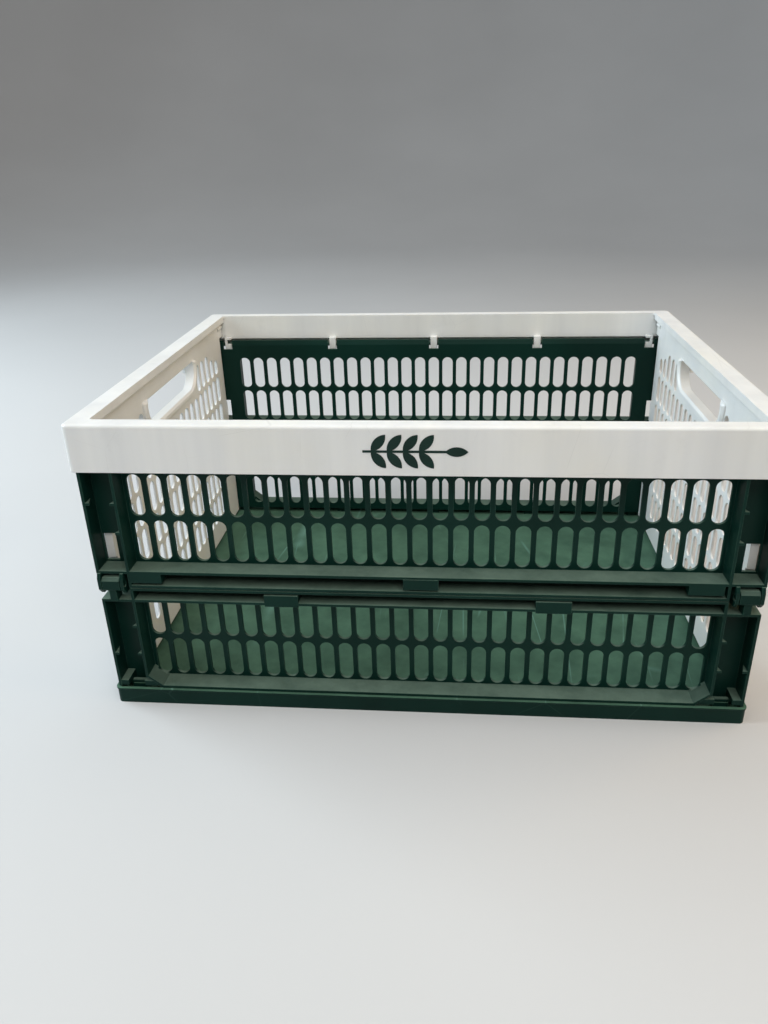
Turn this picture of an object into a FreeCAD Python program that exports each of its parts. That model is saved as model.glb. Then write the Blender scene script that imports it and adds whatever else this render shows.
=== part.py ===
"""Collapsible storage crate: a base tray, four half walls, two end panels and a carrying rim.

Frame: +Z up, +X along the crate's length, the front at -Y, the origin at the centre of the base's
underside. Millimetres. The rear walls and the right end panel are the front and left mouldings
turned half a turn about Z, as on the real crate. Each long wall folds inwards at its middle, on
hinge lines that lie at equal heights apart, so the two links of a wall are equally long.
"""
import FreeCAD, Part
import math
import os

import Sketcher

Vector = FreeCAD.Vector

DRIVING_SIZES = {
    # the whole crate
    "crate_length": 480.0,
    "crate_width": 350.0,
    "crate_height": 232.0,
    # carrying rim: an upturned channel that runs all round
    "band_height": 34.5,
    "band_wall": 2.4,
    "rim_top_wall": 2.6,
    "rim_long_top": 12.0,
    "rim_end_top": 16.0,
    "rim_inner_skirt": 24.0,
    "rim_end_lip": 6.4,
    "rim_inner_wall": 2.0,
    "rim_corner_radius": 5.0,
    "rim_edge_radius": 2.2,
    # base tray
    "base_length": 477.0,
    "base_width": 347.0,
    "base_edge_height": 13.5,
    "base_wall": 2.2,
    "floor_top": 5.0,
    "floor_wall": 2.2,
    "base_corner_radius": 4.0,
    # long walls: a perforated plate with flanges that stand outwards from it
    "wall_inner_face": 155.0,
    "plate_wall": 2.2,
    "wall_outer_face": 172.0,
    "flange_wall": 2.0,
    "column_outer": 236.0,
    "column_rib": 212.0,
    "parting_height": 104.0,
    "parting_gap": 0.6,
    "upper_top": 207.5,
    "lower_bottom": 10.5,
    "shelf_top": 118.0,
    "lower_channel_bottom": 92.0,
    "bottom_shelf_top": 16.0,
    # the slots in the long walls
    "slot_pitch": 14.5,
    "slot_count": 29,
    "slot_width": 10.8,
    "slot_length": 32.8,
    "slot_row_gap": 3.6,
    "upper_slot_foot": 119.6,
    "lower_slot_foot": 17.2,
    # hinge lines of the long walls
    "fold_hinge_face": 162.5,
    "middle_hinge_face": 172.5,
    "base_hinge_height": 13.0,
    "hinge_spacing": 94.5,
    "hinge_pin_radius": 2.0,
    "hinge_play": 0.35,
    "knuckle_centre": 225.5,
    "knuckle_width": 13.0,
    "knuckle_height": 11.0,
    "window_inner": 223.5,
    "window_outer": 233.3,
    "window_foot": 119.5,
    "window_head": 141.5,
    # end panels
    "panel_face": 227.5,
    "panel_wall": 1.6,
    "panel_half_width": 152.6,
    "panel_top": 224.6,
    "panel_bottom": 9.0,
    "panel_frame_depth": 8.0,
    "panel_hinge_face": 229.0,
    "panel_hinge_height": 220.5,
    "panel_pin_radius": 2.6,
    "vent_pitch": 14.5,
    "vent_width": 10.4,
    "vent_length": 26.0,
    "vent_row_pitch": 29.5,
    "vent_top": 204.0,
    "hand_hole_top": 211.5,
    "hand_hole_bottom": 187.5,
    "hand_hole_half_width": 60.0,
    "hand_hole_top_radius": 5.5,
    "hand_hole_foot_radius": 18.0,
    "collar_width": 6.8,
    "collar_height": 2.8,
    "collar_bevel": 1.8,
    # printed emblem on the front band
    "print_thickness": 0.3,
    "print_centre": -1.0,
    "print_half_length": 35.0,
}

document = FreeCAD.newDocument("collapsible_crate")
sheet = document.addObject("Spreadsheet::Sheet", "sizes")
for row, (alias, number) in enumerate(DRIVING_SIZES.items(), start=1):
    sheet.set(f"A{row}", alias)
    sheet.set(f"B{row}", str(number))
    sheet.setAlias(f"B{row}", alias)
document.recompute()


class Size:
    """A length that carries its value and the spreadsheet formula that it comes from."""

    def __init__(self, value, formula):
        self.value = value
        self.formula = formula

    def combined(self, other, sign, value):
        return Size(value, f"({self.formula} {sign} {other.formula})")

    def __add__(self, other):
        other = as_size(other)
        return self.combined(other, "+", self.value + other.value)

    def __sub__(self, other):
        other = as_size(other)
        return self.combined(other, "-", self.value - other.value)

    def __mul__(self, other):
        other = as_size(other)
        return self.combined(other, "*", self.value * other.value)

    def __truediv__(self, other):
        other = as_size(other)
        return self.combined(other, "/", self.value / other.value)

    def __neg__(self):
        return Size(-self.value, f"(0 - {self.formula})")

    __radd__ = __add__
    __rmul__ = __mul__

    def __rsub__(self, other):
        return as_size(other) - self


def as_size(number):
    """A plain number as a Size; a Size comes back as it is."""
    if isinstance(number, Size):
        return number
    return Size(float(number), f"{float(number):.6f}")


def size(alias):
    """One driving dimension, bound to its cell."""
    return Size(float(DRIVING_SIZES[alias]), f"sizes.{alias}")


# ---------------------------------------------------------------- sketches and features

def new_body(label):
    body = document.addObject("PartDesign::Body", label)
    body.Label = label
    return body


def plane(body, role):
    return next(feature for feature in body.Origin.OriginFeatures if feature.Role == role)


def new_sketch(body, name, role, offset=0.0):
    """A sketch on one of the body's own origin planes, moved along the plane's normal.

    XY_Plane looks along -Z with its normal up, XZ_Plane's normal is -Y (outwards through the
    front wall) and YZ_Plane's normal is +X.
    """
    sketch = body.newObject("Sketcher::SketchObject", name)
    sketch.AttachmentSupport = [(plane(body, role), "")]
    sketch.MapMode = "FlatFace"
    offset = as_size(offset)
    shift = FreeCAD.Placement(Vector(0, 0, offset.value), FreeCAD.Rotation())
    sketch.AttachmentOffset = shift
    sketch.setExpression("AttachmentOffset.Base.z", offset.formula)
    return sketch


def pin_down(sketch, geometry, point, across, up):
    """Fix one point of the sketch's geometry at (across, up) from the sketch's origin."""
    for kind, value in (("DistanceX", as_size(across)), ("DistanceY", as_size(up))):
        number = sketch.addConstraint(Sketcher.Constraint(kind, -1, 1, geometry, point, value.value))
        sketch.setExpression(f"Constraints[{number}]", value.formula)


def set_radius(sketch, geometry, radius):
    number = sketch.addConstraint(Sketcher.Constraint("Radius", geometry, radius.value))
    sketch.setExpression(f"Constraints[{number}]", radius.formula)


def add_polygon(sketch, corners):
    """A closed outline whose corners are all fixed by formulas."""
    corners = [(as_size(across), as_size(up)) for across, up in corners]
    first = sketch.GeometryCount
    for index, (across, up) in enumerate(corners):
        next_across, next_up = corners[(index + 1) % len(corners)]
        start = Vector(across.value, up.value, 0)
        end = Vector(next_across.value, next_up.value, 0)
        sketch.addGeometry(Part.LineSegment(start, end))
    for index in range(len(corners)):
        after = first + (index + 1) % len(corners)
        sketch.addConstraint(Sketcher.Constraint("Coincident", first + index, 2, after, 1))
    for index, (across, up) in enumerate(corners):
        pin_down(sketch, first + index, 1, across, up)


def add_rectangle(sketch, left, bottom, right, top):
    add_polygon(sketch, [(left, bottom), (right, bottom), (right, top), (left, top)])


def add_circle(sketch, across, up, radius):
    across, up, radius = as_size(across), as_size(up), as_size(radius)
    centre = Vector(across.value, up.value, 0)
    number = sketch.addGeometry(Part.Circle(centre, Vector(0, 0, 1), radius.value))
    pin_down(sketch, number, 3, across, up)
    set_radius(sketch, number, radius)


def add_upright_slot(sketch, across, foot, head, radius):
    """An upright slot with round ends, from foot to head."""
    across, foot, head, radius = (as_size(value) for value in (across, foot, head, radius))
    low, high = foot + radius, head - radius
    ends = []
    for centre, start in ((high, 0.0), (low, math.pi)):
        circle = Part.Circle(Vector(across.value, centre.value, 0), Vector(0, 0, 1), radius.value)
        ends.append(sketch.addGeometry(Part.ArcOfCircle(circle, start, start + math.pi)))
    sides = []
    for side in (-1, 1):
        x = across.value + side * radius.value
        top, bottom = Vector(x, high.value, 0), Vector(x, low.value, 0)
        sides.append(sketch.addGeometry(Part.LineSegment(top, bottom)))
    head_arc, foot_arc = ends
    left, right = sides
    for arc, end, line, line_end in ((head_arc, 2, left, 1), (foot_arc, 1, left, 2),
                                     (foot_arc, 2, right, 2), (head_arc, 1, right, 1)):
        sketch.addConstraint(Sketcher.Constraint("Tangent", arc, end, line, line_end))
    sketch.addConstraint(Sketcher.Constraint("Vertical", left))
    sketch.addConstraint(Sketcher.Constraint("Equal", head_arc, foot_arc))
    set_radius(sketch, head_arc, radius)
    pin_down(sketch, head_arc, 3, across, high)
    number = sketch.addConstraint(Sketcher.Constraint("DistanceY", -1, 1, foot_arc, 3, low.value))
    sketch.setExpression(f"Constraints[{number}]", low.formula)


def pad(body, sketch, length, symmetric=False):
    """Pad along the sketch's normal, or equally to both sides of its plane."""
    feature = body.newObject("PartDesign::Pad", sketch.Name + "_pad")
    feature.Profile = sketch
    length = as_size(length)
    feature.Length = length.value
    feature.setExpression("Length", length.formula)
    if symmetric:
        feature.SideType = "Symmetric"
    feature.Refine = False
    return feature


def pocket(body, sketch, length):
    """Cut equally to both sides of the sketch's plane, and check that it removed material."""
    document.recompute()
    before = body.Shape.Volume
    feature = body.newObject("PartDesign::Pocket", sketch.Name + "_pocket")
    feature.Profile = sketch
    feature.SideType = "Symmetric"
    length = as_size(length)
    feature.Length = length.value
    feature.setExpression("Length", length.formula)
    feature.Refine = False
    document.recompute()
    if body.Shape.Volume > before - 1e-3:
        raise RuntimeError(f"{feature.Name} removed nothing")
    return feature


def repeat_across(body, feature, sketch, spacing, count):
    """Repeat a feature along its sketch's horizontal axis, a fixed spacing apart."""
    pattern = body.newObject("PartDesign::LinearPattern", feature.Name + "_row")
    pattern.Originals = [feature]
    pattern.Direction = (sketch, ["H_Axis"])
    spacing, count = as_size(spacing), as_size(count)
    reach = spacing * (count - 1)
    pattern.Length = reach.value
    pattern.setExpression("Length", reach.formula)
    pattern.Occurrences = int(count.value)
    pattern.setExpression("Occurrences", count.formula)
    pattern.Refine = False
    body.Tip = pattern
    document.recompute()
    return pattern


def soften_edges(body, name, amount, wanted, kind="Fillet"):
    """Fillet or chamfer the edges of the body's tip for which wanted(edge) is true."""
    body.Tip.Refine = True
    document.recompute()
    tip = body.Tip
    names = [f"Edge{n}" for n, edge in enumerate(tip.Shape.Edges, start=1) if wanted(edge)]
    if not names:
        raise RuntimeError(f"{name}: no edge was found to soften")
    feature = body.newObject(f"PartDesign::{kind}", name)
    feature.Base = (tip, names)
    driven = "Radius" if kind == "Fillet" else "Size"
    amount = as_size(amount)
    setattr(feature, driven, amount.value)
    feature.setExpression(driven, amount.formula)
    body.Tip = feature
    document.recompute()
    return feature


def turned_half_round(body):
    """Turn a body half a turn about Z: the same moulding on the crate's other side."""
    body.Placement = FreeCAD.Placement(Vector(0, 0, 0), FreeCAD.Rotation(Vector(0, 0, 1), 180))


# ---------------------------------------------------------------- sizes that several pieces share

plate_outer = size("wall_inner_face") + size("plate_wall")
outer_face = size("wall_outer_face")
flange = size("flange_wall")
column_outer = size("column_outer")
column_inner = column_outer - flange
rib_outer = size("column_rib") + flange / 2
rib_inner = size("column_rib") - flange / 2
middle_hinge_height = size("base_hinge_height") + size("hinge_spacing")
rim_hinge_height = middle_hinge_height + size("hinge_spacing")
hook_stations = [-220.0, -107.0, 0.0, 107.0, 220.0]
hook_half_width = 3.4
slot_reach = size("slot_pitch") * (size("slot_count") - 1) / 2


def both_sides(draw, low, high):
    """Draw the same thing on the +X and on the -X side, given its two distances from the centre."""
    draw(low, high)
    draw(-high, -low)


# ---------------------------------------------------------------- long walls

def wall_plate(body, bottom, top):
    outline = new_sketch(body, body.Name + "_plate", "XZ_Plane", size("wall_inner_face"))
    add_rectangle(outline, -column_outer, bottom, column_outer, top)
    pad(body, outline, size("plate_wall"))


def wall_slots(body, slot_foot):
    """Two rows of upright slots through the plate, cut last."""
    middle = size("wall_inner_face") + size("plate_wall") / 2
    slots = new_sketch(body, body.Name + "_slots", "XZ_Plane", middle)
    second_foot = slot_foot + size("slot_length") + size("slot_row_gap")
    for foot in (slot_foot, second_foot):
        add_upright_slot(slots, -slot_reach, foot, foot + size("slot_length"), size("slot_width") / 2)
    cut = pocket(body, slots, 3 * size("plate_wall"))
    repeat_across(body, cut, slots, size("slot_pitch"), size("slot_count"))


def wall_columns(body, outer_foot, rib_foot, head):
    """The outer flanges and the ribs that make a hollow column at each end of the half wall."""
    for name, low, high, foot in (("outer", column_inner, column_outer, outer_foot),
                                  ("rib", rib_inner, rib_outer, rib_foot)):
        sketch = new_sketch(body, f"{body.Name}_{name}", "XY_Plane", foot)

        def upright(left, right):
            add_rectangle(sketch, left, -outer_face, right, -plate_outer)

        both_sides(upright, low, high)
        pad(body, sketch, as_size(head) - foot)


def wall_rails(body, name, half_length, rails):
    """Flanges that run along the wall; each rail is (depth from the plate, bottom, top)."""
    sketch = new_sketch(body, f"{body.Name}_{name}", "YZ_Plane")
    for depth, bottom, top in rails:
        add_rectangle(sketch, -(plate_outer + depth), bottom, -plate_outer + 0.2, top)
    pad(body, sketch, 2 * as_size(half_length), symmetric=True)


def wall_gussets(body, name, height, on_rib):
    """Small stiffening teeth in the column, at one height, on the rib or on the outer flange."""
    tooth_depth, tooth_reach, tooth_wall = 9.0, 3.2, 1.8
    sketch = new_sketch(body, f"{body.Name}_{name}", "XY_Plane", height)
    front = -outer_face
    root = rib_outer if on_rib else column_inner
    tip = root + tooth_reach if on_rib else root - tooth_reach
    for side in (1, -1):
        corners = [(side * root, front), (side * root, front + tooth_depth), (side * tip, front)]
        add_polygon(sketch, corners)
    pad(body, sketch, tooth_wall)


def channel_blocks(body, name, centres, half_width, bottom, top, proud=0.0):
    """Blocks that bridge a channel from the plate to just past its front edge."""
    sketch = new_sketch(body, f"{body.Name}_{name}", "XZ_Plane", plate_outer - 0.2)
    for centre in centres:
        add_rectangle(sketch, centre - half_width, bottom, centre + half_width, top)
    pad(body, sketch, outer_face - plate_outer + 0.2 + proud)


def gate_marks(body, centres, height):
    sketch = new_sketch(body, body.Name + "_gates", "XZ_Plane", plate_outer - 0.2)
    for centre in centres:
        add_circle(sketch, centre, height, 1.7)
    pad(body, sketch, 3.2)


def upper_wall(label):
    """The upper half: a hinge rod at its top, tab windows in its columns, ears at its foot."""
    body = new_body(label)
    foot = size("parting_height") + size("parting_gap") / 2
    shelf_foot = size("shelf_top") - flange
    wall_plate(body, foot, size("upper_top"))
    wall_columns(body, shelf_foot, foot, rim_hinge_height - 4.0)
    depth = outer_face - plate_outer
    wall_rails(body, "shelf", column_outer, [(depth, shelf_foot, size("shelf_top"))])
    wall_rails(body, "channel", rib_outer, [(depth, foot, foot + flange),
                                            (4.5, foot + 5.6, foot + 6.8)])
    for number, height in enumerate((171.0, 148.0)):
        wall_gussets(body, f"rib_tooth{number}", height, on_rib=True)
    wall_gussets(body, "flange_tooth", 171.0, on_rib=False)
    channel_blocks(body, "end_blocks", (-200.0, 197.0), 12.0, 108.5, shelf_foot + 0.2)
    channel_blocks(body, "centre_block", (1.0,), 12.5, 108.0, shelf_foot + 0.2, proud=0.4)
    gate_marks(body, (-134.0, 126.0), 111.5)
    upper_wall_hinge_rod(body)
    upper_wall_ears(body, shelf_foot)

    windows = new_sketch(body, label + "_windows", "XZ_Plane", size("wall_inner_face"))

    def window(left, right):
        add_rectangle(windows, left, size("window_foot"), right, size("window_head"))

    both_sides(window, size("window_inner"), size("window_outer"))
    pocket(body, windows, 4 * size("plate_wall"))
    slope_drop, slope_depth, beyond = 5.0, 1.8, 0.5
    slope = new_sketch(body, label + "_top_slope", "YZ_Plane")
    face, head = size("wall_inner_face"), size("upper_top")
    add_polygon(slope, [(-(face - beyond), head - slope_drop), (-face, head - slope_drop),
                        (-(face + slope_depth), head), (-(face + slope_depth), head + beyond),
                        (-(face - beyond), head + beyond)])
    pocket(body, slope, 2 * column_outer + 2.0)
    wall_slots(body, size("upper_slot_foot"))
    return body


def upper_wall_hinge_rod(body):
    """A rod on a web along the top edge, with notches where the rim's hooks reach round it."""
    face, height = size("fold_hinge_face"), rim_hinge_height
    web = 0.9
    wall_rails(body, "rod_web", column_outer, [(face - plate_outer, height - web, height + web)])
    rod = new_sketch(body, body.Name + "_rod", "YZ_Plane")
    add_circle(rod, -face, height, size("hinge_pin_radius"))
    pad(body, rod, 2 * column_outer, symmetric=True)

    notch_foot, notch_height, side_play = 4.0, 12.0, 1.4
    notches = new_sketch(body, body.Name + "_notches", "XY_Plane",
                         height - notch_foot + notch_height / 2)
    rod_side = -(face - size("hinge_pin_radius") - 0.2)
    inside = -size("wall_inner_face") + 0.5
    for centre in hook_stations:
        half = hook_half_width + side_play
        add_rectangle(notches, centre - half, rod_side, centre + half, inside)
    pocket(body, notches, notch_height)


def upper_wall_ears(body, shelf_foot):
    """Two rounded ears at each end that hold the lower half's knuckle between them."""
    ear_wall = 2.4
    inner_gap = size("knuckle_width") / 2 + size("hinge_play") + 0.35
    ear_foot = middle_hinge_height - 8.0
    front, back = -(size("middle_hinge_face") + 2.2), -plate_outer + 0.2
    radius = size("hinge_pin_radius") + size("hinge_play")
    profile = [(back, shelf_foot + 0.4), (front + 1.6, shelf_foot + 0.4),
               (front, middle_hinge_height + 5.0), (front, middle_hinge_height - 3.5),
               (front + 3.6, ear_foot), (front + 9.0, ear_foot), (back, middle_hinge_height + 4.0)]
    for side in (-1, 1):
        for sign in (-1, 1):
            middle = side * size("knuckle_centre") + sign * (inner_gap + ear_wall / 2)
            place = f"{side + sign + 3}{side + 1}"
            ear = new_sketch(body, f"{body.Name}_ear{place}", "YZ_Plane", middle)
            add_polygon(ear, profile)
            add_circle(ear, -size("middle_hinge_face") + 0.4, middle_hinge_height, radius)
            pad(body, ear, ear_wall, symmetric=True)


def lower_wall(label):
    """The lower half: knuckles at its top, a hinge rod under its bottom shelf."""
    body = new_body(label)
    head = size("parting_height") - size("parting_gap") / 2
    column_head = size("lower_channel_bottom") + flange
    wall_plate(body, size("lower_bottom"), head)
    wall_columns(body, 14.4, 23.0, column_head)
    depth = outer_face - plate_outer
    wall_rails(body, "channel_foot", column_outer,
               [(depth, size("lower_channel_bottom"), column_head)])
    wall_rails(body, "channel_head", rib_outer, [(depth, head - flange, head),
                                                 (4.5, head - 6.4, head - 5.2)])
    channel_ends = new_sketch(body, label + "_channel_ends", "XY_Plane", column_head - 0.2)

    def channel_end(left, right):
        add_rectangle(channel_ends, left, -outer_face, right, -plate_outer + 0.2)

    both_sides(channel_end, rib_inner, rib_outer)
    pad(body, channel_ends, head - column_head + 0.2)
    for number, height in enumerate((69.0, 44.0)):
        wall_gussets(body, f"rib_tooth{number}", height, on_rib=True)
    wall_gussets(body, "flange_tooth", 44.0, on_rib=False)
    channel_blocks(body, "snap_blocks", (-100.5, 94.5), 12.5, column_head - 3.0, head - 3.4, proud=0.4)
    lower_wall_bottom_shelf(body)
    lower_wall_hinge_rod(body)
    lower_wall_knuckles(body, column_head)
    gaps = new_sketch(body, label + "_knuckle_gaps", "XZ_Plane", size("wall_inner_face"))
    gap_width, gap_foot = 3.8, 3.2
    both_sides(lambda left, right: add_rectangle(gaps, left, column_head + gap_foot, right, head + 1.0),
               rib_outer + 0.4, rib_outer + 0.4 + gap_width)
    pocket(body, gaps, 4 * size("plate_wall"))
    wall_slots(body, size("lower_slot_foot"))
    return body


def lower_wall_bottom_shelf(body):
    """The bottom flange, which climbs at its ends to meet the column ribs above the hinges."""
    sketch = new_sketch(body, body.Name + "_bottom_shelf", "XZ_Plane", plate_outer - 0.2)
    straight_end, climb = 201.0, 9.6
    low, high = size("bottom_shelf_top") - flange, size("bottom_shelf_top")
    rib = size("column_rib")
    add_polygon(sketch, [(-straight_end, low), (straight_end, low), (rib, low + climb),
                         (rib, high + climb), (straight_end - 0.8, high), (-straight_end + 0.8, high),
                         (-rib, high + climb), (-rib, low + climb)])
    pad(body, sketch, outer_face - plate_outer + 0.2)


def lower_wall_hinge_rod(body):
    """A rod under the bottom shelf that turns in the base's cradles, on lugs at the columns."""
    face, height = size("fold_hinge_face"), size("base_hinge_height")
    rod_end, lug_foot, lug_head = 234.5, 10.6, 19.6
    rod = new_sketch(body, body.Name + "_rod", "YZ_Plane")
    add_circle(rod, -face, height, size("hinge_pin_radius"))
    pad(body, rod, 2 * rod_end, symmetric=True)
    lugs = new_sketch(body, body.Name + "_lugs", "XZ_Plane", plate_outer - 0.2)
    for low, high in ((205.0, 215.0), (228.0, rod_end)):
        both_sides(lambda left, right: add_rectangle(lugs, left, lug_foot, right, lug_head), low, high)
    pad(body, lugs, face - plate_outer + 0.2 + 2.6)
    fronts = new_sketch(body, body.Name + "_lug_fronts", "XZ_Plane", face)
    for low, high in ((205.0, 215.0), (228.0, rod_end)):
        both_sides(lambda left, right: add_rectangle(fronts, left, 15.2, right, lug_head), low, high)
    pad(body, fronts, outer_face - face - 0.4)


def lower_wall_knuckles(body, column_head):
    """A squared knuckle on a narrow neck at each end, with a pin stub on each side."""
    name = body.Name
    face, height = size("middle_hinge_face"), middle_hinge_height
    half_height = size("knuckle_height") / 2
    front, back, bevel = -(face + 2.4), -(face - 5.6), 2.0
    profile = [(front, height - half_height + bevel), (front + bevel, height - half_height),
               (back, height - half_height), (back, height + half_height - bevel),
               (back - bevel, height + half_height), (front + bevel, height + half_height),
               (front, height + half_height - bevel)]
    for number, side in enumerate((-1, 1)):
        centre = side * size("knuckle_centre")
        neck = new_sketch(body, f"{name}_neck{number}", "YZ_Plane", centre)
        add_rectangle(neck, front + 1.2, column_head - 0.3, back + 2.0, height)
        pad(body, neck, 5.2, symmetric=True)
        block = new_sketch(body, f"{name}_knuckle{number}", "YZ_Plane", centre)
        add_polygon(block, profile)
        pad(body, block, size("knuckle_width"), symmetric=True)
        stub = new_sketch(body, f"{name}_stub{number}", "YZ_Plane", centre)
        add_circle(stub, -face + 0.4, height, size("hinge_pin_radius"))
        pad(body, stub, size("knuckle_width") + 2 * 2.4, symmetric=True)


# ---------------------------------------------------------------- base tray

def add_rounded_rectangle(sketch, half_long, half_wide, radius, centre_up=0.0, low_radius=None):
    """A rectangle whose corners are quarter circles; its lower pair may have a radius of its own."""
    half_long, half_wide, radius = as_size(half_long), as_size(half_wide), as_size(radius)
    centre_up = as_size(centre_up)
    low_radius = radius if low_radius is None else as_size(low_radius)
    first = sketch.GeometryCount
    corners = []
    for across_sign, up_sign in ((1, 1), (-1, 1), (-1, -1), (1, -1)):
        bend = radius if up_sign > 0 else low_radius
        across = across_sign * (half_long - bend)
        up = centre_up + up_sign * (half_wide - bend)
        corners.append((across, up, bend))
    for index, (across, up, bend) in enumerate(corners):
        centre = Vector(across.value, up.value, 0)
        start = index * math.pi / 2
        end = start + math.pi / 2
        circle = Part.Circle(centre, Vector(0, 0, 1), bend.value)
        arc = sketch.addGeometry(Part.ArcOfCircle(circle, start, end))
        next_across, next_up, next_bend = corners[(index + 1) % 4]
        outwards = Vector(math.cos(end), math.sin(end), 0)
        next_centre = Vector(next_across.value, next_up.value, 0)
        sketch.addGeometry(Part.LineSegment(centre + outwards * bend.value,
                                            next_centre + outwards * next_bend.value))
        set_radius(sketch, arc, bend)
        pin_down(sketch, arc, 3, across, up)
    for index in range(4):
        arc, line = first + 2 * index, first + 2 * index + 1
        next_arc = first + 2 * ((index + 1) % 4)
        sketch.addConstraint(Sketcher.Constraint("Tangent", arc, 2, line, 1))
        sketch.addConstraint(Sketcher.Constraint("Tangent", line, 2, next_arc, 1))


def base_tray():
    """A smooth floor inside a low upright edge, stiffened by a grid of ribs underneath."""
    body = new_body("base_tray")
    half_long, half_wide = size("base_length") / 2, size("base_width") / 2
    wall, corner = size("base_wall"), size("base_corner_radius")

    block = new_sketch(body, "base_edge", "XY_Plane")
    add_rounded_rectangle(block, half_long, half_wide, corner)
    pad(body, block, size("base_edge_height"))
    top_depth = size("base_edge_height") - size("floor_top")
    tray = new_sketch(body, "base_tray_recess", "XY_Plane", size("base_edge_height"))
    add_rounded_rectangle(tray, half_long - wall, half_wide - wall, corner - wall + 0.8)
    pocket(body, tray, 2 * top_depth)
    under = new_sketch(body, "base_under_recess", "XY_Plane")
    add_rounded_rectangle(under, half_long - wall, half_wide - wall, corner - wall + 0.8)
    pocket(body, under, 2 * (size("floor_top") - size("floor_wall")))
    base_ribs(body, half_long, half_wide)
    base_cradles(body)
    base_lip(body, half_long, half_wide, corner)
    return body


def base_ribs(body, half_long, half_wide):
    """A grid of low ribs under the floor."""
    rib_wall, rib_foot, into_edge = 1.8, 0.6, 1.0
    rib_height = size("floor_top") - size("floor_wall") - rib_foot + 0.2
    along = new_sketch(body, "base_ribs_along", "XY_Plane", rib_foot)
    for place in rib_places(half_wide, 5):
        add_rectangle(along, -half_long + into_edge, place - rib_wall / 2,
                      half_long - into_edge, place + rib_wall / 2)
    pad(body, along, rib_height)
    across = new_sketch(body, "base_ribs_across", "XY_Plane", rib_foot)
    for place in rib_places(half_long, 8):
        add_rectangle(across, place - rib_wall / 2, -half_wide + into_edge,
                      place + rib_wall / 2, half_wide - into_edge)
    pad(body, across, rib_height)


def rib_places(reach, count):
    """The middles of count equal strips between -reach and reach."""
    return [reach * ((2 * number + 1) / count - 1) for number in range(count)]


def base_cradles(body):
    """Open cradles on the floor that the lower walls' hinge pins snap into."""
    face, height = size("fold_hinge_face"), size("base_hinge_height")
    radius = size("hinge_pin_radius") + size("hinge_play")
    cradle_head = height - 0.6
    for side, word in ((-1, "front"), (1, "rear")):
        for number, centre in enumerate((-222.0, -107.0, 0.0, 107.0, 222.0)):
            cradle = new_sketch(body, f"cradle_{word}{number}", "YZ_Plane", centre)
            floor = size("floor_top") - 0.3
            add_polygon(cradle, [(side * (face - 4.0), floor), (side * (face + 4.4), floor),
                                 (side * (face + 3.2), cradle_head), (side * (face - 3.2), cradle_head)])
            pad(body, cradle, 11.0, symmetric=True)
            groove = new_sketch(body, f"cradle_groove_{word}{number}", "YZ_Plane", centre)
            add_circle(groove, side * face, height, radius)
            pocket(body, groove, 12.0)


def base_lip(body, half_long, half_wide, corner):
    """A fine bead round the top of the upright edge."""
    bead, bead_height = 0.5, 1.2
    sketch = new_sketch(body, "base_bead", "XY_Plane", size("base_edge_height") - bead_height)
    add_rounded_rectangle(sketch, half_long + bead, half_wide + bead, corner + bead)
    add_rounded_rectangle(sketch, half_long - 0.4, half_wide - 0.4, corner - 0.4)
    pad(body, sketch, bead_height)


# ---------------------------------------------------------------- end panels

def end_panel(label):
    """The left-hand panel: it hangs on two pins in the rim and swings inwards and up."""
    body = new_body(label)
    face, wall = size("panel_face"), size("panel_wall")
    half_width = size("panel_half_width")
    outline = new_sketch(body, label + "_plate", "YZ_Plane", -(face + wall))
    add_rectangle(outline, -half_width, size("panel_bottom"), half_width, size("panel_top"))
    pad(body, outline, wall)
    end_panel_frame(body)
    end_panel_hand_hole(body)
    end_panel_tabs(body)
    end_panel_pins(body)
    end_panel_vents(body)
    return body


def end_panel_vents(body):
    """Narrow upright slots in rows; the top row leaves room for the hand hole."""
    middle = -(size("panel_face") + size("panel_wall") / 2)
    pitch, radius = size("vent_pitch"), size("vent_width") / 2
    row_pitch, length = size("vent_row_pitch"), size("vent_length")

    def rows(name, first_columns, first_row, last_row, repeats, drop=0.0):
        sketch = new_sketch(body, f"{body.Name}_{name}", "YZ_Plane", middle)
        for column in first_columns:
            for number in range(first_row, last_row + 1):
                foot = size("vent_top") - row_pitch * number - length
                add_upright_slot(sketch, pitch * column, foot, foot + length - drop, radius)
        cut = pocket(body, sketch, 3 * size("panel_wall"))
        if repeats > 1:
            repeat_across(body, cut, sketch, pitch, repeats)

    rows("vents_beside_hole", (-7, 5), 0, 0, 3)
    rows("vents_shoulder", (-8, 8), 0, 0, 1, drop=7.5)
    rows("vents_corner", (-9, 9), 0, 0, 1, drop=11.5)
    rows("vents_full", (-9,), 1, 3, 19)
    rows("vents_low", (-7,), 4, 5, 15)


def end_panel_frame(body):
    """Stiffening flanges on the panel's outer side, down both edges and along the foot."""
    face, depth = size("panel_face"), size("panel_frame_depth")
    half_width, edge = size("panel_half_width"), 2.0
    low, high = size("panel_bottom"), size("panel_hinge_height") - 8.0
    flanges = new_sketch(body, body.Name + "_frame", "YZ_Plane", -(face + depth))
    for side in (-1, 1):
        left, right = sorted((side * (half_width - edge), side * half_width), key=lambda s: s.value)
        add_rectangle(flanges, left, low, right, high)
    pad(body, flanges, depth)
    rail = new_sketch(body, body.Name + "_rail", "YZ_Plane", -(face + depth))
    add_rectangle(rail, -half_width, low, half_width, low + edge)
    pad(body, rail, depth)


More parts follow.
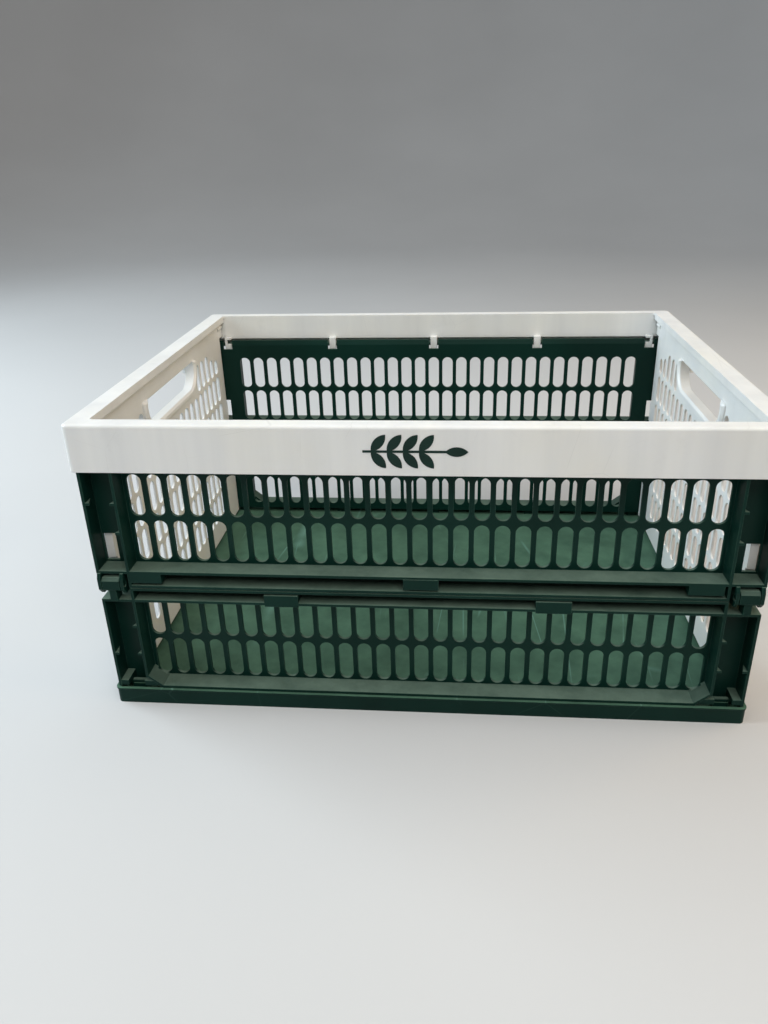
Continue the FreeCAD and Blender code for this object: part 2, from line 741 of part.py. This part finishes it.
def end_panel_hand_hole(body):
    """The hand hole, with a thick bevelled collar round its sides and foot on the inner side."""
    face, grow, rise = size("panel_face"), size("collar_width"), size("collar_height")
    top, bottom = size("hand_hole_top"), size("hand_hole_bottom")
    middle, half_high = (top + bottom) / 2, (top - bottom) / 2
    half_wide, corner = size("hand_hole_half_width"), size("hand_hole_foot_radius")
    depth, soft = size("panel_frame_depth") - 1.0, size("collar_bevel") + 0.8

    collar = new_sketch(body, body.Name + "_collar", "YZ_Plane", -(face + depth))
    add_rounded_rectangle(collar, half_wide + grow, half_high + grow / 2, soft,
                          middle - grow / 2, corner + grow)
    pad(body, collar, rise + depth)
    hole = new_sketch(body, body.Name + "_hand_hole", "YZ_Plane", -face)
    add_rounded_rectangle(hole, half_wide, half_high, size("hand_hole_top_radius"), middle, corner)
    pocket(body, hole, 40.0)
    crest = rise - face

    def crest_edge(edge):
        return all(abs(vertex.Point.x - crest.value) < 0.01 for vertex in edge.Vertexes)

    soften_edges(body, body.Name + "_crest", size("collar_bevel"), crest_edge, "Chamfer")


def end_panel_tabs(body):
    """A tab at each edge that shows in the window of the long wall's column."""
    tab_wall, play = 2.6, 0.3
    tabs = new_sketch(body, body.Name + "_tabs", "XY_Plane", size("window_foot") + 0.6)
    for side in (-1, 1):
        outer = side * (size("wall_inner_face") - play)
        inner = outer - side * tab_wall
        low, high = sorted((inner, outer), key=lambda s: s.value)
        add_rectangle(tabs, -(size("window_outer") - 0.3), low, -size("panel_face"), high)
    pad(body, tabs, size("window_head") - size("window_foot") - 1.2)


def end_panel_pins(body):
    """Wider shoulders above the walls, and the pins that turn in the rim's inner skirts."""
    skirt_inner = size("crate_width") / 2 - size("rim_long_top")
    pin_end = skirt_inner + size("rim_inner_wall") - 0.4
    shoulder_foot = size("panel_hinge_height") - 10.0
    shoulders = new_sketch(body, body.Name + "_shoulders", "YZ_Plane",
                           -(size("panel_face") + size("panel_wall")))
    add_rectangle(shoulders, -(skirt_inner - 0.6), shoulder_foot, skirt_inner - 0.6, size("panel_top"))
    pad(body, shoulders, size("panel_wall"))
    centre_x, height = -size("panel_hinge_face"), size("panel_hinge_height")
    for side, word in ((-1, "front"), (1, "rear")):
        reach = pin_end - size("panel_half_width") + 4.0
        pins = new_sketch(body, f"{body.Name}_pin_{word}", "XZ_Plane",
                          -side * (pin_end - reach / 2))
        add_circle(pins, centre_x, height, size("panel_pin_radius"))
        pad(body, pins, reach, symmetric=True)


# ---------------------------------------------------------------- carrying rim

def rim_frame():
    """An upturned channel all round: tall outer band, flat top, short inner skirt."""
    body = new_body("rim_frame")
    half_long, half_wide = size("crate_length") / 2, size("crate_width") / 2
    top, band = size("crate_height"), size("band_height")
    corner, wall = size("rim_corner_radius"), size("band_wall")

    block = new_sketch(body, "rim_block", "XY_Plane", top - band)
    add_rounded_rectangle(block, half_long, half_wide, corner)
    pad(body, block, band)

    def top_outer_edge(edge):
        box = edge.BoundBox
        return box.ZMin > top.value - 0.01

    soften_edges(body, "rim_outer_edge", size("rim_edge_radius"), top_outer_edge)
    hollow = new_sketch(body, "rim_hollow", "XY_Plane", top - band)
    add_rounded_rectangle(hollow, half_long - wall, half_wide - wall, corner - wall + 0.4)
    pocket(body, hollow, 2 * (band - size("rim_top_wall")))
    mouth = new_sketch(body, "rim_mouth", "XY_Plane", top)
    mouth_long = half_long - size("rim_end_top")
    mouth_wide = half_wide - size("rim_long_top")
    add_rounded_rectangle(mouth, mouth_long, mouth_wide, as_size(3.0))
    pocket(body, mouth, 20.0)
    rim_skirts(body, mouth_long, mouth_wide)
    rim_hooks(body, mouth_wide)
    rim_webs(body, mouth_long, mouth_wide)
    rim_grips(body)
    return body


def rim_grips(body):
    """The end bands arch over the hand holes, so that fingers reach in from outside."""
    grip_half_width, grip_radius, grip_foot = 66.0, 10.0, 190.0
    grip_head = size("hand_hole_top") + 1.5
    sketch = new_sketch(body, "rim_grips", "YZ_Plane")
    add_rounded_rectangle(sketch, grip_half_width, (grip_head - grip_foot) / 2, grip_radius,
                          (grip_head + grip_foot) / 2)
    pocket(body, sketch, size("crate_length") + 2.0)


def rim_skirts(body, mouth_long, mouth_wide):
    """The inner skirts: deep along the sides, short above the end panels."""
    wall, top = size("rim_inner_wall"), size("crate_height")
    inner_top = top - size("rim_top_wall") + 0.3
    skirts = (("long", mouth_long + wall + 8.0, mouth_wide, "long", size("rim_inner_skirt")),
              ("end", mouth_wide + 0.5, mouth_long, "end", size("rim_end_lip")))
    for name, half, distance, kind, drop in skirts:
        sketch = new_sketch(body, f"rim_{name}_skirts", "XY_Plane", top - drop)
        for side in (-1, 1):
            low, high = sorted((side * distance, side * (distance + wall)), key=lambda s: s.value)
            if kind == "long":
                add_rectangle(sketch, -half, low, half, high)
            else:
                add_rectangle(sketch, low, -half, high, half)
        pad(body, sketch, inner_top - (top - drop))
    bores = new_sketch(body, "rim_panel_bores", "XZ_Plane")
    for side in (-1, 1):
        radius = size("panel_pin_radius") + size("hinge_play")
        add_circle(bores, side * size("panel_hinge_face"), size("panel_hinge_height"), radius)
    pocket(body, bores, 2 * (mouth_wide + wall) + 1.0)


def rim_hooks(body, mouth_wide):
    """Hooks that step inwards from the inner skirt and reach under the upper walls' rods."""
    reach = size("hinge_pin_radius") + size("hinge_play")
    strip_inner = size("fold_hinge_face") - 4.5
    strip_outer = strip_inner + 2.0
    toe_wall, step_wall = 1.8, 1.9
    toe_foot = rim_hinge_height - reach - toe_wall
    skirt_foot = size("crate_height") - size("rim_inner_skirt")
    step_foot = skirt_foot - 0.3
    for side, word in ((-1, "front"), (1, "rear")):
        strips = new_sketch(body, f"rim_hook_strips_{word}", "XY_Plane", toe_foot)
        toes = new_sketch(body, f"rim_hook_toes_{word}", "XY_Plane", toe_foot)
        steps = new_sketch(body, f"rim_hook_steps_{word}", "XY_Plane", step_foot)
        feet = new_sketch(body, f"rim_hook_feet_{word}", "XY_Plane", toe_foot)

        def block(sketch, left, right, inner, outer):
            low, high = sorted((side * inner, side * outer), key=lambda s: s.value)
            add_rectangle(sketch, left, low, right, high)

        for centre in hook_stations:
            left, right = centre - hook_half_width, centre + hook_half_width
            block(toes, left, right, strip_inner, size("fold_hinge_face") + 1.2)
            block(steps, left, right, strip_inner, mouth_wide + size("rim_inner_wall") - 0.1)
            if abs(centre) < 200.0:
                block(strips, left, right, strip_inner, strip_outer)
                continue
            slim = 2.6
            near, far = (left, left + slim) if centre < 0 else (right - slim, right)
            block(strips, near, far, strip_inner, strip_outer)
            block(feet, left, right, strip_inner, strip_outer)
        pad(body, strips, step_foot - toe_foot + 0.3)
        pad(body, steps, step_wall)
        pad(body, toes, toe_wall)
        pad(body, feet, 5.4)


def rim_webs(body, mouth_long, mouth_wide):
    """Cross webs inside the channel, between the outer band and the inner skirt."""
    wall = size("rim_inner_wall")
    web_wall, web_drop = 1.6, 12.0
    half_wide = size("crate_width") / 2 - 1.0
    sketch = new_sketch(body, "rim_webs", "XY_Plane", size("crate_height") - web_drop)
    for side in (-1, 1):
        low, high = sorted((side * (mouth_wide + wall - 0.4), side * half_wide), key=lambda s: s.value)
        for number in range(-4, 5):
            place = mouth_long * (number / 4.5)
            add_rectangle(sketch, place - web_wall / 2, low, place + web_wall / 2, high)
    pad(body, sketch, web_drop - size("rim_top_wall") + 0.3)


def rim_print():
    """A plain leaf sprig printed on the front band: a stem with paired leaves."""
    body = new_body("rim_print")
    face = size("crate_width") / 2
    middle = size("crate_height") - size("band_height") / 2
    centre, reach = size("print_centre"), size("print_half_length")
    stem_wall = 0.8
    stem = new_sketch(body, "print_stem", "XZ_Plane", face)
    add_rectangle(stem, centre - reach, middle - stem_wall, centre + reach * 0.62, middle + stem_wall)
    pad(body, stem, size("print_thickness"))
    leaves = new_sketch(body, "print_leaves", "XZ_Plane", face)
    leaf_length, leaf_half_width, lean = 15.0, 3.3, 50.0
    for place in (-0.84, -0.54, -0.24, 0.06):
        for side in (-1, 1):
            foot = centre + reach * place
            add_leaf(leaves, foot, middle + side * 0.2, leaf_length, leaf_half_width, side * lean)
    pad(body, leaves, size("print_thickness"))
    tip = new_sketch(body, "print_tip", "XZ_Plane", face)
    add_leaf(tip, centre + reach - leaf_length - 1.0, middle, leaf_length, leaf_half_width, 0.0)
    pad(body, tip, size("print_thickness"))
    return body


def add_leaf(sketch, across, up, length, half_width, lean):
    """A pointed leaf: two arcs that meet at its foot and its tip."""
    across, up = as_size(across), as_size(up)
    angle = math.radians(lean)
    along = Vector(math.cos(angle), math.sin(angle), 0)
    beside = Vector(-along.y, along.x, 0)
    foot = Vector(across.value, up.value, 0)
    tip = foot + along * length
    middle = foot + along * (length / 2)
    left = sketch.addGeometry(Part.Arc(foot, middle + beside * half_width, tip))
    right = sketch.addGeometry(Part.Arc(tip, middle - beside * half_width, foot))
    for arc in (left, right):
        sketch.addConstraint(Sketcher.Constraint("Block", arc))


# ---------------------------------------------------------------- build, check and export

def build():
    parts = [base_tray(), rim_frame()]
    for label, make in (("upper", upper_wall), ("lower", lower_wall)):
        front = make(f"front_wall_{label}")
        rear = make(f"rear_wall_{label}")
        turned_half_round(rear)
        parts += [front, rear]
    left = end_panel("left_end_panel")
    right = end_panel("right_end_panel")
    turned_half_round(right)
    parts += [left, right, rim_print()]
    document.recompute()
    return parts


def check_and_export(parts):
    for item in document.Objects:
        if {"Invalid", "Error"} & set(item.State):
            raise RuntimeError(f"{item.Name} is {item.State}")
    os.makedirs("parts", exist_ok=True)
    for body in parts:
        shape = body.Shape
        if shape.isNull() or not shape.isValid() or len(shape.Solids) != 1:
            raise RuntimeError(f"{body.Label}: bad shape, {len(shape.Solids)} solids")
        shape.exportStep(f"parts/{body.Label}.step")
        box = shape.BoundBox
        print(f"{body.Label:20s} {shape.Volume / 1000:9.2f} cm3  x {box.XMin:.1f}..{box.XMax:.1f}  "
              f"y {box.YMin:.1f}..{box.YMax:.1f}  z {box.ZMin:.1f}..{box.ZMax:.1f}")


check_and_export(build())
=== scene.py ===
"""Looks of the collapsible storage crate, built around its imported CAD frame."""
import math

import bpy
from mathutils import Matrix, Vector

MM = 0.001
IOR_POLYPROPYLENE = 1.49
GREEN = (0.0036, 0.0235, 0.0172)
# lighter colour on upward green faces: partly real dust, partly a painted sheen for the bright room
# reflected in them
GREEN_DUST_AND_SHEEN = (0.170, 0.245, 0.190, 1.0)
# the same on the crate's floor: partly real dust, partly a painted reflection of the bright room
FLOOR_DUST_AND_SHEEN = (0.112, 0.225, 0.150, 1.0)
WHITE = (0.82, 0.82, 0.795, 1.0)
WHITE_SHADE = (0.70, 0.705, 0.70, 1.0)
# noise scale along X, Y and Z, smallest along Z, so that flow marks run up and down the faces
ACROSS_BANDS = (6.0, 6.0, 0.35)
DOWN_PANELS = (1.2, 3.0, 0.6)
# lighter green for edges: partly real wear, partly a painted highlight along edges and slot outlines
GREEN_WORN_AND_HIGHLIT = (0.055, 0.130, 0.095, 1.0)
GREEN_SCRATCHED = (0.150, 0.300, 0.240, 1.0)
INK_DARK = (0.004, 0.020, 0.015, 1.0)
INK_LIGHT = (0.007, 0.030, 0.022, 1.0)
INK_SPECK = (0.06, 0.09, 0.08, 1.0)
INK_WORN = (0.10, 0.14, 0.12, 1.0)
STAGE_DARK = (0.55, 0.55, 0.545, 1.0)
STAGE_LIGHT = (0.59, 0.59, 0.585, 1.0)
SMUDGE_GREY = (0.42, 0.41, 0.38, 1.0)
SCUFF_GREY = (0.47, 0.45, 0.40, 1.0)
SCRATCH_GREY = (0.45, 0.44, 0.42, 1.0)
# Z of a face's normal between which dust with its painted sheen, and floor scratches, grow to their
# full strength
UPWARD = (0.45, 0.95)
# cosine between an edge's rounded normal and the mesh's own: fully worn below the first,
# untouched above the second; on the green plastic the worn colour is also a painted edge highlight
WORN_EDGE = (0.80, 0.995)
# a Mix node's colour sockets, by place because its socket names repeat
MIX_FIRST, MIX_SECOND, MIX_RESULT = 6, 7, 2

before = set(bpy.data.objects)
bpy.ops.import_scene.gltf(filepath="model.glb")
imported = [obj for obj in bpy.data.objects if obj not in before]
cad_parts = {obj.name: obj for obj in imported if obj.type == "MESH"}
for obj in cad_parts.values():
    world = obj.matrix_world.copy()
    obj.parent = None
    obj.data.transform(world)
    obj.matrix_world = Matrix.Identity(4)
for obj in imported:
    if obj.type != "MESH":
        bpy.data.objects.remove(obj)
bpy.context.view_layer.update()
scene = bpy.context.scene


# ---------------------------------------------------------------- material building blocks

class Nodes:
    """A material's node tree, with short calls for the nodes that the plastics share."""

    def __init__(self, name):
        self.material = bpy.data.materials.new(name)
        self.material.use_nodes = True
        self.tree = self.material.node_tree
        self.shader = self.tree.nodes["Principled BSDF"]
        self.place = self.add("ShaderNodeTexCoord").outputs["Object"]

    def add(self, kind, **settings):
        node = self.tree.nodes.new(kind)
        for name, value in settings.items():
            setattr(node, name, value)
        return node

    def link(self, source, target):
        self.tree.links.new(source, target)

    def feed(self, socket, value):
        if isinstance(value, bpy.types.NodeSocket):
            self.link(value, socket)
        else:
            socket.default_value = value

    def stretched(self, scale):
        node = self.add("ShaderNodeMapping")
        self.link(self.place, node.inputs["Vector"])
        node.inputs["Scale"].default_value = scale
        return node.outputs["Vector"]

    def noise(self, scale, detail=2.0, roughness=0.5, vector=None):
        node = self.add("ShaderNodeTexNoise")
        self.link(vector or self.place, node.inputs["Vector"])
        node.inputs["Scale"].default_value = scale
        node.inputs["Detail"].default_value = detail
        node.inputs["Roughness"].default_value = roughness
        return node.outputs["Fac"]

    def voronoi_edges(self, scale, vector):
        node = self.add("ShaderNodeTexVoronoi", feature="DISTANCE_TO_EDGE")
        self.link(vector, node.inputs["Vector"])
        node.inputs["Scale"].default_value = scale
        return node.outputs["Distance"]

    def ramp(self, value, low, high, to_low=0.0, to_high=1.0):
        node = self.add("ShaderNodeMapRange", clamp=True)
        self.link(value, node.inputs["Value"])
        for name, number in (("From Min", low), ("From Max", high),
                             ("To Min", to_low), ("To Max", to_high)):
            node.inputs[name].default_value = number
        return node.outputs["Result"]

    def maths(self, operation, first, second=0.0, clamp=False):
        node = self.add("ShaderNodeMath", operation=operation, use_clamp=clamp)
        self.feed(node.inputs[0], first)
        self.feed(node.inputs[1], second)
        return node.outputs[0]

    def mix(self, factor, first, second):
        node = self.add("ShaderNodeMix", data_type="RGBA")
        self.feed(node.inputs["Factor"], factor)
        self.feed(node.inputs[MIX_FIRST], first)
        self.feed(node.inputs[MIX_SECOND], second)
        return node.outputs[MIX_RESULT]

    def axis(self, vector, name):
        node = self.add("ShaderNodeSeparateXYZ")
        self.link(vector, node.inputs[0])
        return node.outputs[name]

    def facing_up(self):
        return self.axis(self.add("ShaderNodeNewGeometry").outputs["True Normal"], "Z")

    def edge_wear(self, radius, low, high):
        """1 on convex and concave edges, 0 on flat faces."""
        rounded = self.add("ShaderNodeBevel", samples=4)
        rounded.inputs["Radius"].default_value = radius
        flat = self.add("ShaderNodeNewGeometry").outputs["Normal"]
        dot = self.add("ShaderNodeVectorMath", operation="DOT_PRODUCT")
        self.link(rounded.outputs[0], dot.inputs[0])
        self.link(flat, dot.inputs[1])
        return self.ramp(dot.outputs["Value"], high, low)

    def bump(self, heights, edge_radius):
        """Chained bumps, (height, strength, distance) each, over a normal that rounds the edges."""
        rounded = self.add("ShaderNodeBevel", samples=4)
        rounded.inputs["Radius"].default_value = edge_radius
        normal = rounded.outputs[0]
        for height, strength, distance in heights:
            node = self.add("ShaderNodeBump")
            node.inputs["Strength"].default_value = strength
            node.inputs["Distance"].default_value = distance
            self.link(height, node.inputs["Height"])
            self.link(normal, node.inputs["Normal"])
            normal = node.outputs["Normal"]
        self.link(normal, self.shader.inputs["Normal"])


def scratches(nodes, scale, turn, width):
    """Sparse fine straight scratches: the thin edges of large stretched cells, broken up by noise."""
    mapping = nodes.add("ShaderNodeMapping")
    nodes.link(nodes.place, mapping.inputs["Vector"])
    mapping.inputs["Rotation"].default_value = (0.0, 0.0, turn)
    mapping.inputs["Scale"].default_value = (1.0, 0.16, 1.0)
    lines = nodes.ramp(nodes.voronoi_edges(scale, mapping.outputs["Vector"]), 0.0, width, 1.0, 0.0)
    broken = nodes.ramp(nodes.noise(scale * 0.9, 2.0), 0.52, 0.62)
    return nodes.maths("MULTIPLY", lines, broken)


def green_plastic(name, base, dust_and_sheen_colour, dust_and_sheen_amount, gloss,
                  scratch_amount, scratch_width):
    """Satin dark green polypropylene: fine grain, dust with a painted sheen on upward faces, scuffed
    edges with a painted edge highlight.
    """
    n = Nodes(name)
    cloud = n.ramp(n.noise(9.0, 3.0), 0.3, 0.7)
    dark = tuple(channel * 0.78 for channel in base) + (1.0,)
    light = tuple(channel * 1.25 for channel in base) + (1.0,)
    colour = n.mix(cloud, dark, light)
    flow = n.ramp(n.noise(6.0, 2.0, 0.5, n.stretched((6.0, 6.0, 0.7))), 0.35, 0.75)
    colour = n.mix(n.maths("MULTIPLY", flow, 0.25), colour, light)

    # upward faces lightened: partly real dust, partly a painted sheen standing in for light reflected
    # off them
    up = n.ramp(n.facing_up(), *UPWARD)
    dust_and_sheen_spread = n.ramp(n.noise(38.0, 5.0, 0.65), 0.25, 0.75, 0.45, 1.0)
    dust_and_sheen = n.maths("MULTIPLY", n.maths("MULTIPLY", up, dust_and_sheen_spread), dust_and_sheen_amount)
    colour = n.mix(dust_and_sheen, colour, dust_and_sheen_colour)

    # edges lightened: partly real wear, partly a painted highlight along rims and slot outlines
    worn = n.edge_wear(0.8 * MM, *WORN_EDGE)
    patches = n.ramp(n.noise(55.0, 4.0, 0.6), 0.34, 0.60)
    wear = n.maths("MULTIPLY", n.maths("MULTIPLY", worn, patches), 0.65)
    colour = n.mix(wear, colour, GREEN_WORN_AND_HIGHLIT)

    lines = n.maths("MAXIMUM", scratches(n, 16.0, 0.5, scratch_width),
                    scratches(n, 11.0, -1.1, scratch_width))
    on_floors = n.ramp(n.facing_up(), *UPWARD, 0.08, 1.0)
    lines = n.maths("MULTIPLY", n.maths("MULTIPLY", lines, on_floors), scratch_amount)
    colour = n.mix(lines, colour, GREEN_SCRATCHED)
    n.link(colour, n.shader.inputs["Base Color"])

    rough = n.ramp(n.noise(26.0, 4.0, 0.6), 0.3, 0.7, gloss - 0.06, gloss + 0.08)
    rough = n.maths("ADD", rough, n.maths("MULTIPLY", dust_and_sheen, 0.35))
    rough = n.maths("ADD", rough, n.maths("MULTIPLY", wear, 0.15), clamp=True)
    n.link(rough, n.shader.inputs["Roughness"])
    n.shader.inputs["IOR"].default_value = IOR_POLYPROPYLENE
    n.shader.inputs["Specular IOR Level"].default_value = 0.10

    grain = n.noise(1500.0, 2.0, 0.6)
    ripple = n.noise(24.0, 2.0)
    n.bump(((ripple, 0.25, 0.6 * MM), (grain, 0.12, 0.05 * MM), (lines, 0.3, 0.05 * MM)), 0.45 * MM)
    return n.material


def white_plastic(name, base, shade, stretch, gloss):
    """Warm white polypropylene: flow marks across its long faces, soft sinks, grey scuffs."""
    n = Nodes(name)
    streaks = n.ramp(n.noise(7.0, 4.0, 0.55, n.stretched(stretch)), 0.32, 0.72)
    colour = n.mix(n.maths("MULTIPLY", streaks, 0.8), base, shade)
    cloud = n.ramp(n.noise(12.0, 3.0), 0.4, 0.75)
    yellowed = (base[0] * 0.98, base[1] * 0.95, base[2] * 0.86, 1.0)
    colour = n.mix(n.maths("MULTIPLY", cloud, 0.45), colour, yellowed)

    smudge = n.ramp(n.noise(30.0, 6.0, 0.7), 0.58, 0.78)
    colour = n.mix(n.maths("MULTIPLY", smudge, 0.16), colour, SMUDGE_GREY)
    worn = n.edge_wear(0.8 * MM, 0.82, 0.995)
    patches = n.ramp(n.noise(48.0, 4.0, 0.65), 0.50, 0.68)
    wear = n.maths("MULTIPLY", worn, patches)
    colour = n.mix(n.maths("MULTIPLY", wear, 0.35), colour, SCUFF_GREY)
    lines = n.maths("MAXIMUM", scratches(n, 19.0, 0.9, 0.0030), scratches(n, 13.0, -0.4, 0.0030))
    colour = n.mix(n.maths("MULTIPLY", lines, 0.22), colour, SCRATCH_GREY)
    n.link(colour, n.shader.inputs["Base Color"])

    rough = n.ramp(n.noise(22.0, 4.0, 0.6), 0.3, 0.7, gloss - 0.07, gloss + 0.08)
    rough = n.maths("ADD", rough, n.maths("MULTIPLY", smudge, 0.12), clamp=True)
    n.link(rough, n.shader.inputs["Roughness"])
    n.shader.inputs["IOR"].default_value = IOR_POLYPROPYLENE
    n.shader.inputs["Subsurface Weight"].default_value = 0.12
    n.shader.inputs["Subsurface Radius"].default_value = (1.0, 0.9, 0.7)
    n.shader.inputs["Subsurface Scale"].default_value = 1.5 * MM

    sinks = n.noise(9.0, 2.0, 0.5, n.stretched(stretch))
    grain = n.noise(1300.0, 2.0, 0.6)
    n.bump(((sinks, 0.6, 1.2 * MM), (grain, 0.10, 0.05 * MM), (lines, 0.3, 0.04 * MM)), 0.6 * MM)
    return n.material


def print_ink():
    """Dark green printed ink: thin, a little glossy, with wear that lightens it in specks."""
    n = Nodes("ink")
    cloud = n.ramp(n.noise(60.0, 3.0), 0.3, 0.7)
    colour = n.mix(cloud, INK_DARK, INK_LIGHT)
    specks = n.ramp(n.noise(700.0, 3.0, 0.7), 0.66, 0.74)
    colour = n.mix(n.maths("MULTIPLY", specks, 0.35), colour, INK_SPECK)
    worn = n.edge_wear(0.2 * MM, *WORN_EDGE)
    patches = n.ramp(n.noise(160.0, 4.0, 0.6), 0.42, 0.62)
    wear = n.maths("MULTIPLY", n.maths("MULTIPLY", worn, patches), 0.5)
    colour = n.mix(wear, colour, INK_WORN)
    n.link(colour, n.shader.inputs["Base Color"])
    n.link(n.ramp(n.noise(90.0, 3.0), 0.3, 0.7, 0.34, 0.48), n.shader.inputs["Roughness"])
    n.shader.inputs["Specular IOR Level"].default_value = 0.2
    n.bump(((n.noise(900.0, 2.0), 0.15, 0.03 * MM),), 0.15 * MM)
    return n.material


def floor_material():
    n = Nodes("floor")
    cloud = n.ramp(n.noise(1.3, 3.0), 0.3, 0.7)
    n.link(n.mix(cloud, STAGE_DARK, STAGE_LIGHT), n.shader.inputs["Base Color"])
    n.link(n.ramp(n.noise(3.0, 2.0), 0.3, 0.7, 0.70, 0.80), n.shader.inputs["Roughness"])
    return n.material


def dress(node_name, material):
    """Give a CAD node one material in all its slots."""
    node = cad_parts[node_name]
    node.data.materials.clear()
    node.data.materials.append(material)


wall_green = green_plastic("wall_green", GREEN, GREEN_DUST_AND_SHEEN, 0.80, 0.36, 0.12, 0.0030)
base_green = green_plastic("base_green", GREEN, FLOOR_DUST_AND_SHEEN, 0.80, 0.33, 0.75, 0.0080)
rim_white = white_plastic("rim_white", WHITE, WHITE_SHADE, ACROSS_BANDS, 0.36)
panel_white = white_plastic("panel_white", WHITE, WHITE_SHADE, DOWN_PANELS, 0.40)

for wall in ("front_wall_upper", "front_wall_lower", "rear_wall_upper", "rear_wall_lower"):
    dress(wall, wall_green)
dress("base_tray", base_green)
dress("rim_frame", rim_white)
for panel in ("left_end_panel", "right_end_panel"):
    dress(panel, panel_white)
dress("rim_print", print_ink())


# ---------------------------------------------------------------- floor, light and camera

EYE_PLACE = (0.0261, -0.6415, 0.4030)
PITCH_DOWN, TURN_LEFT, ROLL = math.radians(23.73), 0.094, -0.028
LENS_MM = 27.23
LENS_SHIFT = (-0.0065, -0.0347)
ROOM_COLOUR = (0.88, 0.90, 0.93, 1.0)
ROOM_STRENGTH = 0.40
# name, place, point it faces, size, watts and colour of each soft light
LIGHTS = (
    ("window", (-1.9, 0.1, 1.25), (0.15, 0.0, 0.15), (1.6, 1.2), 52.0, (0.78, 0.91, 1.0)),
    ("ceiling", (0.1, -0.35, 1.25), (0.0, 0.15, 0.2), (1.1, 0.6), 3.6, (1.0, 0.98, 0.95)),
    ("fill", (0.4, -1.7, 2.0), (0.0, 0.15, 0.2), (1.8, 1.0), 22.0, (1.0, 0.97, 0.93)),
    ("warm_wall", (1.5, 0.1, 0.9), (-0.2, 0.0, 0.2), (1.2, 1.0), 10.5, (1.0, 0.72, 0.42)),
)


def floor_stage():
    """A pale round floor that curves up into a backdrop on every side of the crate."""
    reach, bend, wall_top, turns, steps = 2.4, 2.8, 4.0, 96, 24
    rings = [(reach - 0.3, 0.0), (reach, 0.0)]
    for step in range(1, steps + 1):
        angle = math.radians(90.0 * step / steps)
        rings.append((reach + bend * math.sin(angle), bend - bend * math.cos(angle)))
    rings.append((reach + bend, wall_top))
    vertices = [(0.0, 0.0, 0.0)]
    for radius, height in rings:
        for turn in range(turns):
            angle = 2.0 * math.pi * turn / turns
            vertices.append((radius * math.cos(angle), radius * math.sin(angle), height))
    faces = [(0, 1 + turn, 1 + (turn + 1) % turns) for turn in range(turns)]
    for ring in range(len(rings) - 1):
        low, high = 1 + ring * turns, 1 + (ring + 1) * turns
        for turn in range(turns):
            after = (turn + 1) % turns
            faces.append((low + turn, high + turn, high + after, low + after))
    mesh = bpy.data.meshes.new("stage_floor")
    mesh.from_pydata(vertices, [], faces)
    for polygon in mesh.polygons:
        polygon.use_smooth = True
    stage = bpy.data.objects.new("stage_floor", mesh)
    scene.collection.objects.link(stage)
    mesh.materials.append(floor_material())


def area_light(name, place, aim, size, watts, colour):
    light = bpy.data.lights.new(name, "AREA")
    light.shape = "RECTANGLE"
    light.size, light.size_y = size
    light.energy = watts
    light.color = colour
    lamp = bpy.data.objects.new(name, light)
    scene.collection.objects.link(lamp)
    lamp.location = place
    direction = Vector(aim) - Vector(place)
    lamp.rotation_euler = direction.to_track_quat("-Z", "Y").to_euler()


def camera():
    """The photograph's viewpoint: in front of the crate and above it, looking down into it."""
    data = bpy.data.cameras.new("camera")
    data.sensor_width = 36.0
    data.lens = LENS_MM
    data.shift_x, data.shift_y = LENS_SHIFT
    data.clip_start = 0.01
    data.clip_end = 50.0
    eye = bpy.data.objects.new("camera", data)
    scene.collection.objects.link(eye)
    turn = (Matrix.Rotation(TURN_LEFT, 4, "Z") @ Matrix.Rotation(math.pi / 2 - PITCH_DOWN, 4, "X")
            @ Matrix.Rotation(ROLL, 4, "Z"))
    eye.matrix_world = Matrix.Translation(EYE_PLACE) @ turn
    scene.camera = eye


floor_stage()
for light in LIGHTS:
    area_light(*light)
world = bpy.data.worlds.new("soft_room")
world.use_nodes = True
world.node_tree.nodes["Background"].inputs["Color"].default_value = ROOM_COLOUR
world.node_tree.nodes["Background"].inputs["Strength"].default_value = ROOM_STRENGTH
scene.world = world
scene.view_settings.view_transform = "Standard"
camera()
